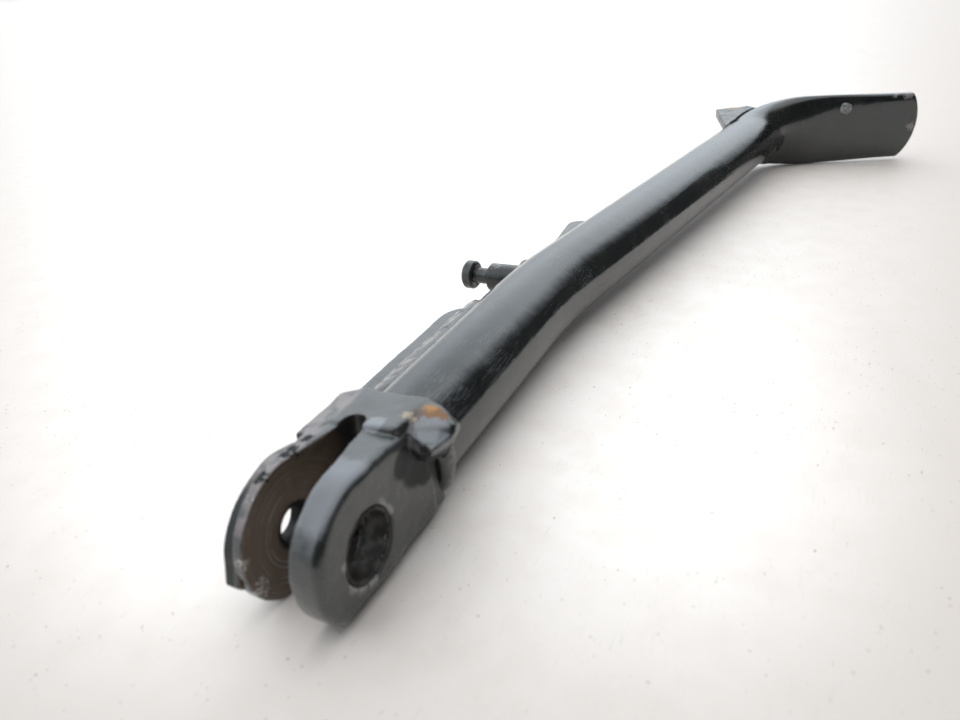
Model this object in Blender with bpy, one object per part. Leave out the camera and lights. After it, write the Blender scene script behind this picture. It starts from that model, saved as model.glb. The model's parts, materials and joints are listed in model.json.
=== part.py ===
"""Side stand leg of a motorcycle: forged clevis, bent tube with flattened foot, and the parts welded to it.

Every piece is drawn from the swing axis, which runs along Y: +X runs from the pivot along the leg to the
foot and +Z is up, with the leg lying on its side. The finished leg is then set down with the middle of its
underside at the world origin. Lengths are written in millimetres and scaled to metres by MM.
"""

import bmesh
import bpy
from math import asin, cos, pi, radians, sin, sqrt, tan
from mathutils import Vector

for old in list(bpy.data.objects):
    bpy.data.objects.remove(old)

MM = 0.001
GAP = 0.3
RING = 72

# Round tube of the leg
TUBE_R = 11.0
TUBE_WALL = 2.6
TUBE_Y = 0.3
TUBE_Z = -1.35
TUBE_START_X = 27.2
BEND_X = 103.6
BEND_ANGLE = radians(8.2)
BEND_RADIUS = 200.0
DROP_ANGLE = radians(0.5)
FOOT_BEND_X = 303.0
FOOT_ANGLE = radians(70.0)
FOOT_BEND_RADIUS = 27.0

# Flattened foot at the end of the tube
FOOT_HALF_THICK = 2.7
FOOT_HALF_WIDE = 15.4
FOOT_TIP_HALF_WIDE = 14.1
FOOT_LENGTH = 52.0
TIP_ARC_RADIUS = 25.0
TIP_ARC_SHIFT = 2.5
TIP_ROUND_LENGTH = 26.0
FLATTEN_BEFORE = 6.0
FLATTEN_REACH = 10.0
FOOT_SQUARENESS = 5.0

# Clevis: slot for the frame bracket, ears, block between the ear roots
SLOT_HALF = 5.0
SLOT_ROOT_HALF = 2.4
SLOT_ROOT_X = 17.0
NEAR_FACE_Y = -11.0
FAR_FACE_Y = 7.4
NEAR_EAR_RADIUS = 13.8
FAR_EAR_RADIUS = 13.6
NEAR_EAR_TOP = 14.4
NEAR_EAR_TOP_BACK = 12.8
FAR_EAR_TOP = 13.5
FAR_EAR_TOP_BACK = 12.6
EAR_BACK_X = 22.5
EAR_BOTTOM_Z = -12.4
NEAR_CHAMFER = 3.2
SHOULDER_FRONT_X = 9.4
SHOULDER_BACK_X = 24.5
SHOULDER_FAR_Y = 9.7
SHOULDER_TOP_Z = 12.3
BLOCK_TOP_Z = 15.2
BLOCK_BACK_FALL = 1.5
BLOCK_FAR_TOP_Z = 13.2
BLOCK_FRONT_X = 13.5
BLOCK_BACK_X = 26.6
BORE_R = 7.05
THREAD_HOLE_R = 4.5
SPIGOT_R = TUBE_R - TUBE_WALL - GAP
SPIGOT_START_X = 22.6
SPIGOT_END_X = 44.0
SPIGOT_CHAMFER = 1.0

# Bush in the near ear
BUSH_R = 6.98
BUSH_BORE_R = 6.1
BUSH_START_Y = NEAR_FACE_Y + 0.15
BUSH_END_Y = -SLOT_HALF - 0.05
BUSH_CHAMFER = 0.35

# Switch cam on the outside of the far ear
CAM_THICK = 2.0
CAM_RADIUS = 13.3
CAM_LOW_RADIUS = 10.4
CAM_BACK_X = 8.6
CAM_HOLE_R = THREAD_HOLE_R + 0.6

# Stiffener along the tube
STIFF_START_X = 33.0
STIFF_END_X = 88.6
STIFF_OUT_Y = 19.8
STIFF_TOP_Z = 1.2
STIFF_THICK = 5.0

# Headed spring post
POST_X = 113.5
POST_Z = -1.35
POST_HEAD_R = 4.3
POST_NECK_R = 2.4
POST_BODY_R = 4.2
POST_HEAD_END_Y = 28.6
POST_HEAD_THICK = 2.6
POST_NECK_LONG = 5.7

# Low lug behind the bend, along the tube and out from its centre line
LUG_X = 144.8
LUG_START = -14.0
LUG_RAMP = (-10.5, 12.9)
LUG_NOSE = 5.5
LUG_NOSE_RADIUS = 4.3
LUG_THICK = 5.0

# Kick tang beside the foot bend: corners of its upper face
TANG_THICK = 3.6
TANG_TOP = (
    (276.0, -19.0, 4.6),
    (299.5, -8.8, 8.6),
    (305.5, -21.5, 9.0),
    (309.0, -34.0, 6.5),
)

# Weld bead radii
STIFFENER_BEAD_R = 2.7
LUG_BEAD_R = 1.7
TANG_BEAD_R = 1.2
POST_BEAD_R = 0.9
CLEVIS_BEAD_R = 1.2

# Plug weld on the foot, placed from the start of the flat
PLUG_R = 2.6
PLUG_ALONG = 36.7
PLUG_Z = 6.2


def material(name, colour, metallic, roughness):
    """Principled material with one base colour."""
    mat = bpy.data.materials.new(name)
    mat.use_nodes = True
    shader = mat.node_tree.nodes["Principled BSDF"]
    shader.inputs["Base Color"].default_value = (*colour, 1.0)
    shader.inputs["Metallic"].default_value = metallic
    shader.inputs["Roughness"].default_value = roughness
    return mat


PAINT = material("gloss_black_paint", (0.028, 0.031, 0.034), 0.0, 0.28)
FORGED = material("painted_forging", (0.05, 0.055, 0.055), 0.0, 0.42)
STEEL = material("bare_steel", (0.32, 0.30, 0.28), 0.9, 0.4)
WELD = material("painted_weld", (0.045, 0.048, 0.05), 0.0, 0.35)


def add_solid(name, points, faces, mat=None):
    """Closed mesh object from points in millimetres, with its faces turned outwards."""
    mesh = bpy.data.meshes.new(name)
    mesh.from_pydata([Vector(p) * MM for p in points], [], faces)
    work = bmesh.new()
    work.from_mesh(mesh)
    bmesh.ops.recalc_face_normals(work, faces=work.faces)
    work.to_mesh(mesh)
    work.free()
    obj = bpy.data.objects.new(name, mesh)
    bpy.context.scene.collection.objects.link(obj)
    if mat:
        mesh.materials.append(mat)
    return obj


def loft(name, rings, mat=None, hollow=False):
    """Skin over rings of equal length; hollow joins the last ring back to the first."""
    count = len(rings[0])
    points = [p for ring in rings for p in ring]
    bands = len(rings) if hollow else len(rings) - 1
    faces = []
    for band in range(bands):
        low = band * count
        high = (band + 1) % len(rings) * count
        for i in range(count):
            j = (i + 1) % count
            faces.append((low + i, low + j, high + j, high + i))
    if not hollow:
        faces.append(tuple(range(count)))
        faces.append(tuple(range((len(rings) - 1) * count, len(rings) * count)))
    return add_solid(name, points, faces, mat)


def hull(name, points, mat=None):
    """Convex solid around a few corner points."""
    mesh = bpy.data.meshes.new(name)
    work = bmesh.new()
    for point in points:
        work.verts.new(Vector(point) * MM)
    made = bmesh.ops.convex_hull(work, input=work.verts)
    bmesh.ops.delete(work, geom=list(set(made["geom_interior"])), context="VERTS")
    bmesh.ops.dissolve_limit(work, angle_limit=radians(1), verts=work.verts, edges=work.edges)
    bmesh.ops.recalc_face_normals(work, faces=work.faces)
    work.to_mesh(mesh)
    work.free()
    obj = bpy.data.objects.new(name, mesh)
    bpy.context.scene.collection.objects.link(obj)
    if mat:
        mesh.materials.append(mat)
    return obj


def settle(obj):
    """Replace an object's mesh with the result of its modifiers."""
    depsgraph = bpy.context.evaluated_depsgraph_get()
    depsgraph.update()
    mesh = bpy.data.meshes.new_from_object(obj.evaluated_get(depsgraph))
    old = obj.data
    obj.modifiers.clear()
    obj.data = mesh
    bpy.data.meshes.remove(old)
    mesh.name = obj.name


def combine(target, tool, operation):
    """Boolean of two solids; the tool is used up."""
    step = target.modifiers.new("boolean", "BOOLEAN")
    step.solver = "EXACT"
    step.operation = operation
    step.object = tool
    settle(target)
    bpy.data.objects.remove(tool)


def round_edges(obj, width, segments=3, angle=radians(35)):
    """Round the edges that turn by more than an angle."""
    step = obj.modifiers.new("bevel", "BEVEL")
    step.width = width * MM
    step.segments = segments
    step.limit_method = "ANGLE"
    step.angle_limit = angle
    step.use_clamp_overlap = True
    settle(obj)


def finish(obj, angle=radians(30)):
    """Smooth shading with sharp edges kept."""
    obj.data.shade_smooth()
    obj.data.set_sharp_from_angle(angle=angle)
    return obj


def turned_y(name, profile, x=0.0, z=0.0, sides=RING, mat=None, hollow=False):
    """Solid of revolution about a line along Y, from (radius, y) pairs."""
    turns = [2 * pi * i / sides for i in range(sides)]
    rings = [[(x + r * cos(a), y, z + r * sin(a)) for a in turns] for r, y in profile]
    return loft(name, rings, mat, hollow)


def cylinder_y(name, radius, y_low, y_high, x=0.0, z=0.0):
    """Round bar along Y."""
    return turned_y(name, [(radius, y_low), (radius, y_high)], x, z)


def prism_y(name, outline, y_low, y_high, mat=None):
    """Plate with an (x, z) outline, square to Y."""
    rings = [[(x, y, z) for x, z in outline] for y in (y_low, y_high)]
    return loft(name, rings, mat)


def prism_z(name, outline, z_low, z_high, mat=None):
    """Plate with an (x, y) outline, square to Z."""
    rings = [[(x, y, z) for x, y in outline] for z in (z_low, z_high)]
    return loft(name, rings, mat)


def arc(centre, radius, start, end, steps):
    """Points of a circular arc in a plane, angles in radians."""
    return [
        (
            centre[0] + radius * cos(start + (end - start) * i / steps),
            centre[1] + radius * sin(start + (end - start) * i / steps),
        )
        for i in range(steps + 1)
    ]


def smooth(value):
    """Ease from 0 to 1."""
    value = min(max(value, 0.0), 1.0)
    return value * value * (3 - 2 * value)


def leg_path():
    """Corner lengths of the tube's centre line: straight, bend, straight, bend, flat foot."""
    first_cut = BEND_RADIUS * tan(BEND_ANGLE / 2)
    foot_turn = FOOT_ANGLE - BEND_ANGLE
    second_cut = FOOT_BEND_RADIUS * tan(foot_turn / 2)
    middle = (FOOT_BEND_X - BEND_X) / cos(BEND_ANGLE)
    return [
        (BEND_X - first_cut - TUBE_START_X, 0.0),
        (BEND_RADIUS * BEND_ANGLE, BEND_ANGLE),
        (middle - first_cut - second_cut, 0.0),
        (FOOT_BEND_RADIUS * foot_turn, foot_turn),
        (FOOT_LENGTH, 0.0),
    ]


def path_lengths():
    """Running length at the end of each piece of the centre line."""
    total = 0.0
    ends = []
    for length, _ in leg_path():
        total += length
        ends.append(total)
    return ends


def path_at(along):
    """Point and heading of the centre line at a running length."""
    x, y, heading = TUBE_START_X, TUBE_Y, 0.0
    left = along
    pieces = leg_path()
    for index, (length, turn) in enumerate(pieces):
        last = index == len(pieces) - 1
        part = left if last else min(left, length)
        if turn:
            radius = length / turn
            angle = part / radius
            x += radius * (sin(heading + angle) - sin(heading))
            y -= radius * (cos(heading) - cos(heading + angle))
            heading += angle
        else:
            x += part * cos(heading)
            y -= part * sin(heading)
        left -= part
        if left <= 0:
            break
    ends = path_lengths()
    fall = min(max(along - ends[0], 0.0), ends[2] - ends[0])
    return Vector((x, y, TUBE_Z - fall * tan(DROP_ANGLE))), heading


def section(along):
    """Half thickness, half width and squareness of the leg's section."""
    ends = path_lengths()
    flat = smooth((along - ends[2] + FLATTEN_BEFORE) / (ends[3] - ends[2] + FLATTEN_REACH))
    taper = smooth((along - ends[3]) / FOOT_LENGTH)
    wide = FOOT_HALF_WIDE + (FOOT_TIP_HALF_WIDE - FOOT_HALF_WIDE) * taper
    thick = TUBE_R + (FOOT_HALF_THICK - TUBE_R) * flat
    across = TUBE_R + (wide - TUBE_R) * flat
    return thick, across, 2.0 + (FOOT_SQUARENESS - 2.0) * flat


def skin_point(along, angle, shrink=0.0, shift=None):
    """Point of the leg's outside, by running length and angle round the section."""
    thick, across, square = section(along)
    c, s = cos(angle), sin(angle)
    side = (thick - shrink) * abs(c) ** (2 / square) * (1 if c >= 0 else -1)
    up = (across - shrink) * abs(s) ** (2 / square) * (1 if s >= 0 else -1)
    centre, heading = path_at(along + (shift(up) if shift else 0.0))
    return centre + Vector((side * sin(heading), side * cos(heading), up))


def section_ring(along, shrink=0.0, shift=None):
    """Ring of points round the leg; shift moves each point along the path by its height."""
    return [skin_point(along, 2 * pi * i / RING, shrink, shift) for i in range(RING)]


def tip_drop(up):
    """How far the rounded tip falls short of its foremost point at a height on the foot."""
    off = min(abs(up - TIP_ARC_SHIFT), TIP_ARC_RADIUS * 0.95)
    return TIP_ARC_RADIUS - sqrt(TIP_ARC_RADIUS**2 - off**2)


def leg_stations(first, last):
    """Running lengths of the tube's rings, closer together in the bends."""
    ends = path_lengths()
    marks = [first]
    for low, high, count in (
        (ends[0], ends[1], 12),
        (ends[2] - 8.0, ends[3] + 6.0, 26),
    ):
        marks += [low + (high - low) * i / count for i in range(count + 1)]
    return [m for m in marks if first <= m < last] + [last]


def cap_in_strips(name, rings, mat):
    """Loft whose last ring is closed by strips across its thickness."""
    count = len(rings[0])
    points = [p for ring in rings for p in ring]
    faces = [tuple(range(count))]
    for band in range(len(rings) - 1):
        low = band * count
        high = low + count
        for i in range(count):
            j = (i + 1) % count
            faces.append((low + i, low + j, high + j, high + i))
    top = (len(rings) - 1) * count
    quarter = count // 4
    for step in range(count // 2):
        corners = (quarter + step, quarter + step + 1, quarter - step - 1, quarter - step)
        strip = dict.fromkeys(top + corner % count for corner in corners)
        faces.append(tuple(strip))
    return add_solid(name, points, faces, mat)


def leg_skin(name, extra=0.0, mat=None):
    """Outside of the whole leg as one solid, with the flattened foot and its rounded tip."""
    tip = path_lengths()[-1]
    flat_start = tip - TIP_ROUND_LENGTH
    steps = 8
    rings = [section_ring(m, -extra) for m in leg_stations(0.0, flat_start)]
    for part in range(1, steps + 1):
        share = part / steps
        base = flat_start + (tip - flat_start) * share
        rings.append(section_ring(base, -extra, lambda up, k=share: -tip_drop(up) * k))
    return cap_in_strips(name, rings, mat)


def make_leg_tube():
    """Tube, open at the clevis end, pressed flat at the other end to form the foot."""
    leg = leg_skin("leg_tube", mat=PAINT)
    hollow_end = path_lengths()[2] + 4.0
    rings = [section_ring(m, TUBE_WALL) for m in leg_stations(0.0, hollow_end)]
    mouth = [p - Vector((5.0, 0.0, 0.0)) for p in rings[0]]
    combine(leg, loft("inside", [mouth] + rings), "DIFFERENCE")
    combine(leg, plug_tool("plug_seat", PLUG_R + GAP, -2.6, 4.0), "DIFFERENCE")
    return finish(leg)


def foot_point(along, up, out):
    """Point on the foot: distance past the flat's start, height, and distance out of the top face."""
    corner_y = TUBE_Y - (FOOT_BEND_X - BEND_X) * tan(BEND_ANGLE)
    x = FOOT_BEND_X + along * cos(FOOT_ANGLE)
    y = corner_y - along * sin(FOOT_ANGLE)
    face = FOOT_HALF_THICK + out
    return Vector((x - face * sin(FOOT_ANGLE), y - face * cos(FOOT_ANGLE), up))


def plug_tool(name, radius, low, high, mat=None, dome=0.0):
    """Short round bar square to the foot's top face, with an optional domed end."""
    heights = [(low, 1.0), (high - dome, 1.0)]
    if dome:
        heights += [(high - dome + dome * sin(a), cos(a)) for a in (0.5, 0.9, 1.25)]
    turns = [2 * pi * i / 24 for i in range(24)]
    rings = [
        [
            foot_point(PLUG_ALONG + radius * share * cos(a), PLUG_Z + radius * share * sin(a), out)
            for a in turns
        ]
        for out, share in heights
    ]
    return loft(name, rings, mat)


def ear_outline(radius, top, top_back):
    """Side view of one ear: round at the front, flat below, its top falling towards the block."""
    low = pi + asin(-EAR_BOTTOM_Z / radius)
    front = arc((0.0, 0.0), radius, radians(88), low, 28)
    lifted = [(x, z + (top - radius) * smooth((z + radius) / (2 * radius))) for x, z in front]
    return lifted + [(EAR_BACK_X, EAR_BOTTOM_Z), (EAR_BACK_X, top_back)]


def make_shoulder():
    """Thick far side of the clevis behind the ear."""
    under = EAR_BOTTOM_Z + 1.5
    shoulder = hull(
        "shoulder",
        [
            (SHOULDER_FRONT_X, SHOULDER_FAR_Y, SHOULDER_TOP_Z),
            (SHOULDER_FRONT_X, SHOULDER_FAR_Y, under),
            (SHOULDER_BACK_X, SHOULDER_FAR_Y, SHOULDER_TOP_Z + 0.3),
            (SHOULDER_BACK_X, SHOULDER_FAR_Y, under),
            (SHOULDER_FRONT_X, 5.5, BLOCK_FAR_TOP_Z),
            (SHOULDER_FRONT_X, 5.5, EAR_BOTTOM_Z),
            (BLOCK_BACK_X, 4.0, BLOCK_FAR_TOP_Z + 0.4),
            (BLOCK_BACK_X, 4.0, EAR_BOTTOM_Z),
        ],
    )
    round_edges(shoulder, 0.6)
    return shoulder


def make_root_block():
    """Block between the roots of the ears, standing a little above them."""
    near, far = NEAR_FACE_Y + 0.8, 6.5
    corners = []
    for x, fall in ((BLOCK_FRONT_X, 0.0), (BLOCK_BACK_X, BLOCK_BACK_FALL)):
        corners += [(x, near, BLOCK_TOP_Z - fall), (x, far, BLOCK_FAR_TOP_Z)]
        corners += [(x, near, EAR_BOTTOM_Z), (x, far, EAR_BOTTOM_Z)]
    block = hull("root_block", corners)
    round_edges(block, 0.9)
    return block


def make_under_cut():
    """Room for the wide chamfer along the lower outer edge of the near side."""
    low = EAR_BOTTOM_Z - 2.0
    out = NEAR_FACE_Y - 1.0
    top = EAR_BOTTOM_Z + NEAR_CHAMFER + 1.0
    inner = out + top - low
    return hull(
        "under_cut",
        [(x, y, z) for x in (-20.0, 40.0) for y, z in ((out, top), (out, low), (inner, low))],
    )


def make_fork():
    """Forged clevis: two ears, the block between their roots, the stop lug and the spigot."""
    near_side = ear_outline(NEAR_EAR_RADIUS, NEAR_EAR_TOP, NEAR_EAR_TOP_BACK)
    fork = prism_y("clevis_fork", near_side, NEAR_FACE_Y, -1.0, FORGED)
    round_edges(fork, 1.5)
    far_side = ear_outline(FAR_EAR_RADIUS, FAR_EAR_TOP, FAR_EAR_TOP_BACK)
    far = prism_y("far_ear", far_side, -0.9, FAR_FACE_Y)
    round_edges(far, 0.5)
    bridge = prism_y("bridge", [(8, -9), (22, -9), (22, 9), (8, 9)], -3.0, 3.0)
    for part in (bridge, far, make_shoulder(), make_root_block(), make_stop_lug()):
        combine(fork, part, "UNION")
    slot = prism_z("slot", slot_outline(), EAR_BOTTOM_Z - 5.0, BLOCK_TOP_Z + 5.0)
    combine(fork, slot, "DIFFERENCE")
    combine(fork, make_under_cut(), "DIFFERENCE")
    combine(fork, cylinder_y("near_bore", BORE_R, NEAR_FACE_Y - 3.0, 0.0), "DIFFERENCE")
    combine(fork, cylinder_y("far_hole", THREAD_HOLE_R, 0.0, SHOULDER_FAR_Y + 3.0), "DIFFERENCE")
    combine(fork, make_spigot(), "UNION")
    return finish(fork)


def make_spigot():
    """Round stub of the clevis that goes inside the tube."""
    turns = [2 * pi * i / RING for i in range(RING)]
    profile = (
        (SPIGOT_START_X, SPIGOT_R),
        (SPIGOT_END_X - SPIGOT_CHAMFER, SPIGOT_R),
        (SPIGOT_END_X, SPIGOT_R - SPIGOT_CHAMFER),
    )
    rings = [[(x, TUBE_Y + r * cos(a), TUBE_Z + r * sin(a)) for a in turns] for x, r in profile]
    return loft("spigot", rings)


def slot_outline():
    """Plan of the slot that takes the frame bracket, narrowing to a rounded root."""
    neck = SLOT_ROOT_X - SLOT_ROOT_HALF
    root = arc((neck, 0.0), SLOT_ROOT_HALF, radians(-75), radians(75), 10)
    near = [(-20.0, -SLOT_HALF), (0.0, -SLOT_HALF), (neck, -SLOT_ROOT_HALF)]
    far = [(neck, SLOT_ROOT_HALF), (0.0, SLOT_HALF), (-20.0, SLOT_HALF)]
    return near + root + far


def make_stop_lug():
    """Stop lug that stands out beside the near ear."""
    lug = hull(
        "stop_lug",
        [
            (15.0, -9.0, 13.6),
            (15.0, -8.5, 9.5),
            (15.6, -13.2, 9.0),
            (21.5, -17.6, 12.0),
            (24.8, -16.8, 10.2),
            (26.4, -12.0, 12.6),
            (20.5, -8.0, 14.4),
            (26.6, -6.0, 13.8),
            (24.0, -13.8, 13.4),
            (26.0, -12.4, 3.5),
            (18.5, -12.0, 4.0),
            (22.5, -15.0, 5.0),
        ],
    )
    round_edges(lug, 0.7)
    return lug


def make_bush():
    """Bush in the near ear that the leg swings on."""
    cut = BUSH_CHAMFER
    profile = [
        (BUSH_R - cut, BUSH_START_Y),
        (BUSH_R, BUSH_START_Y + cut),
        (BUSH_R, BUSH_END_Y - cut),
        (BUSH_R - cut, BUSH_END_Y),
        (BUSH_BORE_R + cut, BUSH_END_Y),
        (BUSH_BORE_R, BUSH_END_Y - cut),
        (BUSH_BORE_R, BUSH_START_Y + cut),
        (BUSH_BORE_R + cut, BUSH_START_Y),
    ]
    return finish(turned_y("pivot_bush", profile, mat=STEEL, hollow=True))


def make_cam_plate():
    """Thin cam with a blunt tip on the outside of the far ear."""
    low = FAR_FACE_Y + GAP
    front = arc((0.0, 0.0), CAM_RADIUS, radians(72), radians(176), 16)
    tip = [(-14.3, -3.0), (-13.3, -4.3), (-10.8, -4.4)]
    under = arc((0.0, 0.0), CAM_LOW_RADIUS, radians(206), radians(285), 8)
    outline = front + tip + under + [(CAM_BACK_X, -8.0), (CAM_BACK_X, 11.4)]
    plate = prism_y("cam_plate", outline, low, low + CAM_THICK, FORGED)
    round_edges(plate, 0.25, 2)
    combine(plate, cylinder_y("cam_hole", CAM_HOLE_R, low - 2.0, low + 5.0), "DIFFERENCE")
    return finish(plate)


def make_stiffener():
    """Flat stiffener on the tube's far side."""
    inner = TUBE_Y + TUBE_R + GAP
    reach = STIFF_OUT_Y - inner
    outline = [(STIFF_START_X, inner)]
    outline += arc((STIFF_START_X + 10.0, inner), reach, radians(150), radians(90), 5)
    outline += arc((STIFF_END_X - reach, inner), reach, radians(90), radians(15), 7)
    outline += [(STIFF_END_X, inner)]
    plate = prism_z("stiffener_plate", outline, STIFF_TOP_Z - STIFF_THICK, STIFF_TOP_Z, FORGED)
    round_edges(plate, 0.8, 2, radians(50))
    return finish(plate)


def make_post():
    """Headed post for the return spring, turned in one piece."""
    foot = tube_centre_y(POST_X - POST_BODY_R) + TUBE_R + GAP
    head = POST_HEAD_END_Y
    neck_end = head - POST_HEAD_THICK
    body_end = neck_end - POST_NECK_LONG
    profile = [
        (POST_BODY_R, foot),
        (POST_BODY_R, body_end - 0.5),
        (POST_BODY_R - 0.5, body_end),
        (POST_NECK_R + 0.5, body_end + 0.1),
        (POST_NECK_R, body_end + 0.7),
        (POST_NECK_R, neck_end - 0.7),
        (POST_NECK_R + 0.5, neck_end - 0.1),
        (POST_HEAD_R - 0.5, neck_end),
        (POST_HEAD_R, neck_end + 0.5),
        (POST_HEAD_R, head - 0.7),
        (POST_HEAD_R - 0.7, head),
    ]
    return finish(turned_y("spring_post", profile, POST_X, POST_Z, 48, STEEL))


def tube_centre_y(x):
    """Y of the tube's centre line at an x on the leg."""
    reach = BEND_RADIUS * tan(BEND_ANGLE / 2)
    start = BEND_X - reach
    if x <= start:
        return TUBE_Y
    end = start + BEND_RADIUS * sin(BEND_ANGLE)
    if x <= end:
        return TUBE_Y - BEND_RADIUS + sqrt(BEND_RADIUS**2 - (x - start) ** 2)
    return TUBE_Y - (x - BEND_X) * tan(BEND_ANGLE)


def make_guard_lug():
    """Low lug on the tube behind the spring post, ramped at the front and round at the back."""
    base = Vector((LUG_X, tube_centre_y(LUG_X), 0.0))
    along = Vector((cos(BEND_ANGLE), -sin(BEND_ANGLE), 0.0))
    out = Vector((sin(BEND_ANGLE), cos(BEND_ANGLE), 0.0))
    seat = TUBE_R + GAP
    outline = [(LUG_START, seat), LUG_RAMP]
    outline += arc((LUG_NOSE, seat), LUG_NOSE_RADIUS, radians(100), 0.0, 8)
    plan = [base + along * a + out * b for a, b in outline]
    low, high = POST_Z - LUG_THICK / 2, POST_Z + LUG_THICK / 2
    lug = prism_z("spring_guard_lug", [(p.x, p.y) for p in plan], low, high, FORGED)
    round_edges(lug, 0.6, 2, radians(50))
    return finish(lug)


def tang_body(name, grow=0.0, mat=None):
    """Tang before it is fitted to the leg, optionally grown on its upper face and rim."""
    middle = sum((Vector(p) for p in TANG_TOP), Vector()) / len(TANG_TOP)
    corners = []
    for corner in TANG_TOP:
        point = Vector(corner)
        aside = point - middle
        aside.z = 0.0
        wide = point + aside.normalized() * grow
        corners += [wide + Vector((0, 0, grow)), wide - Vector((0, 0, TANG_THICK + grow))]
    return hull(name, corners, mat)


def make_tang():
    """Tab that the rider's boot pushes, beside the foot bend."""
    tang = tang_body("kick_tang", mat=FORGED)
    round_edges(tang, 0.5, 2)
    combine(tang, leg_skin("leg_room", GAP), "DIFFERENCE")
    return finish(tang)


def tang_level(x, y):
    """Height of the tang's upper face at a point of its plan."""
    first, second, third = (Vector(p) for p in TANG_TOP[:3])
    normal = (second - first).cross(third - first)
    return first.z - (normal.x * (x - first.x) + normal.y * (y - first.y)) / normal.z


def make_tang_weld():
    """Bead where the tang's upper face meets the leg."""
    bend_start = path_lengths()[2]
    first, last, steps = bend_start - 5.0, bend_start + 12.0, 16
    spine = []
    for i in range(steps + 1):
        along = first + (last - first) * i / steps
        low, high = 0.0, pi / 2
        for _ in range(16):
            middle = (low + high) / 2
            spot = skin_point(along, middle)
            if spot.z < tang_level(spot.x, spot.y):
                low = middle
            else:
                high = middle
        spine.append(skin_point(along, low, -0.7) + Vector((0, 0, 0.8)))
    weld = bead("tang_weld", spine, TANG_BEAD_R, 0.1, 4.0)
    return trim(weld, [leg_skin("leg_room", GAP), tang_body("tang_room", GAP)])


def bead(name, spine, radius, ripple, pitch):
    """Weld bead along a line of points, swelling and shrinking as it goes."""
    turns = [2 * pi * k / 12 for k in range(12)]
    rings = []
    travelled = 0.0
    for i, point in enumerate(spine):
        before = spine[max(i - 1, 0)]
        after = spine[min(i + 1, len(spine) - 1)]
        travelled += (point - before).length
        ahead = (after - before).normalized()
        side = ahead.cross(Vector((0, 0, 1))).normalized()
        lift = side.cross(ahead)
        from_end = min(i, len(spine) - 1 - i)
        taper = (0.45, 0.85, 1.0)[min(from_end, 2)]
        size = radius * taper * (1 + ripple * sin(2 * pi * travelled / pitch))
        rings.append([point + (side * cos(a) + lift * sin(a)) * size for a in turns])
    return loft(name, rings, WELD)


def trim(obj, tools):
    """Cut a bead back from its neighbours' enlarged shapes."""
    for tool in tools:
        combine(obj, tool, "DIFFERENCE")
    return finish(obj)


def make_stiffener_weld(name, level, first, last):
    """Bead along the stiffener at one height, where it meets the tube."""
    seat = TUBE_Y + TUBE_R
    steps = 40
    spine = [Vector((first + (last - first) * i / steps, seat + 1.4, level)) for i in range(steps + 1)]
    weld = bead(name, spine, STIFFENER_BEAD_R, 0.1, 5.5)
    wide = [(first - 9.0, seat - 4.0), (last + 9.0, seat - 4.0), (last + 9.0, 25.0), (first - 9.0, 25.0)]
    low, high = STIFF_TOP_Z - STIFF_THICK - GAP, STIFF_TOP_Z + GAP
    return trim(weld, [leg_skin("leg_room", GAP), prism_z("plate_room", wide, low, high)])


def ring_bead(name, point_at, radius, ripple, waves, count):
    """Closed bead: point_at gives its middle and its outward direction at an angle round the ring."""
    turns = [2 * pi * k / 12 for k in range(12)]
    rings = []
    for i in range(count):
        angle = 2 * pi * i / count
        middle, out, axis = point_at(angle)
        size = radius * (1 + ripple * sin(waves * angle))
        rings.append([middle + (out * cos(b) + axis * sin(b)) * size for b in turns])
    return loft(name, rings, WELD, hollow=True)


def make_post_weld():
    """Fillet of weld round the foot of the spring post."""
    foot = tube_centre_y(POST_X) + TUBE_R
    ring = POST_BODY_R + POST_BEAD_R

    def around(angle):
        out = Vector((cos(angle), 0.0, sin(angle)))
        drop = TUBE_R - sqrt(TUBE_R**2 - (ring * out.z) ** 2)
        middle = Vector((POST_X, foot - drop * 0.7, POST_Z)) + out * ring
        return middle, out, Vector((0, 1, 0))

    weld = ring_bead("post_weld", around, POST_BEAD_R * 1.3, 0.08, 5, 36)
    post_room = cylinder_y("post_room", POST_BODY_R + GAP, foot - 6.0, foot + 8.0, POST_X, POST_Z)
    return trim(weld, [leg_skin("leg_room", GAP), post_room])


def make_lug_weld():
    """Bead along the upper side of the lug."""
    steps = 16
    spine = []
    for i in range(steps + 1):
        x = LUG_X - 13.0 + 21.0 * i / steps
        y = tube_centre_y(x) + sqrt(TUBE_R**2 - (LUG_THICK / 2 + 1.0) ** 2) + 1.0
        spine.append(Vector((x, y, POST_Z + LUG_THICK / 2 + 1.1)))
    weld = bead("lug_weld", spine, LUG_BEAD_R, 0.1, 4.0)
    wide = [(LUG_X - 25, -15), (LUG_X + 25, -15), (LUG_X + 25, 25), (LUG_X - 25, 25)]
    low, high = POST_Z - LUG_THICK / 2 - GAP, POST_Z + LUG_THICK / 2 + GAP
    return trim(weld, [leg_skin("leg_room", GAP), prism_z("lug_room", wide, low, high)])


def make_plug():
    """Plug weld that ties the foot's two pressed walls together."""
    return finish(plug_tool("foot_plug_weld", PLUG_R, -2.3, 0.9, STEEL, dome=0.9))


def make_clevis_weld():
    """Bead round the tube where it butts on the clevis block."""

    def around(angle):
        out = Vector((0.0, cos(angle), sin(angle)))
        centre = Vector((BLOCK_BACK_X + 1.4, TUBE_Y, TUBE_Z))
        return centre + out * (TUBE_R + 0.4), out, Vector((1, 0, 0))

    weld = ring_bead("clevis_weld", around, CLEVIS_BEAD_R, 0.07, 11, 48)
    behind = BLOCK_BACK_X + GAP
    outline = [(5.0, -25.0), (behind, -25.0), (behind, 25.0), (5.0, 25.0)]
    return trim(weld, [leg_skin("leg_room", GAP), prism_y("block_room", outline, -25.0, 25.0)])


pivot = bpy.data.objects.new("pivot_axis", None)
bpy.context.scene.collection.objects.link(pivot)

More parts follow.
